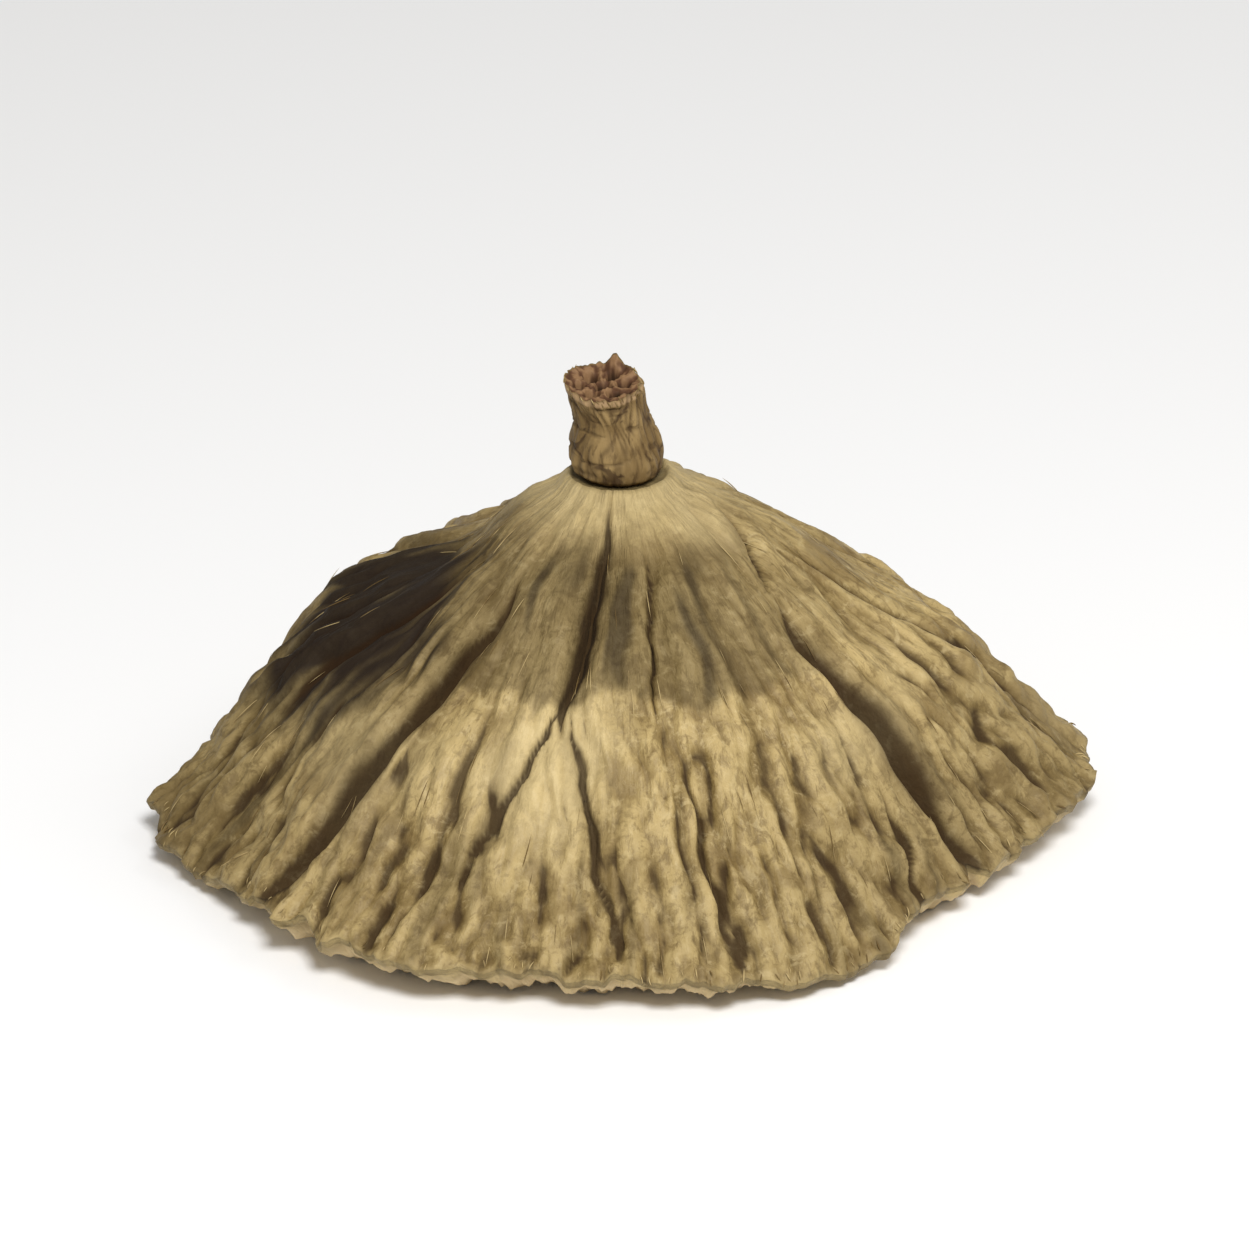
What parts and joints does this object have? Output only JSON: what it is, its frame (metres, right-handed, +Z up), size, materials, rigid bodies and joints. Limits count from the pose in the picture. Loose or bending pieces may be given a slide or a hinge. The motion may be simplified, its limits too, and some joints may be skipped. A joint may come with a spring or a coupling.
{
  "type": "dried lotus pod",
  "caption": "Dried lotus seed pod standing on its flat seed face: a wrinkled cone with empty seed holes underneath and a short cut stem on top.",
  "frame": {"origin": "on the resting plane, under the centre of the pod's box", "axes": "+Z up, from the seed face to the cut stem; the rim's notch is towards +X -Y; +X along the widest way across the rim"},
  "size_m": [0.09, 0.0888, 0.0455],
  "materials": {
    "pod_skin": "dry fibrous skin, satin, golden khaki with dark folds",
    "stem": "dry stalk, matt grey-brown"
  },
  "bodies": {
    "root": {"seed_pod": "pod_skin", "stem_stub": "stem"}
  },
  "joints": []
}
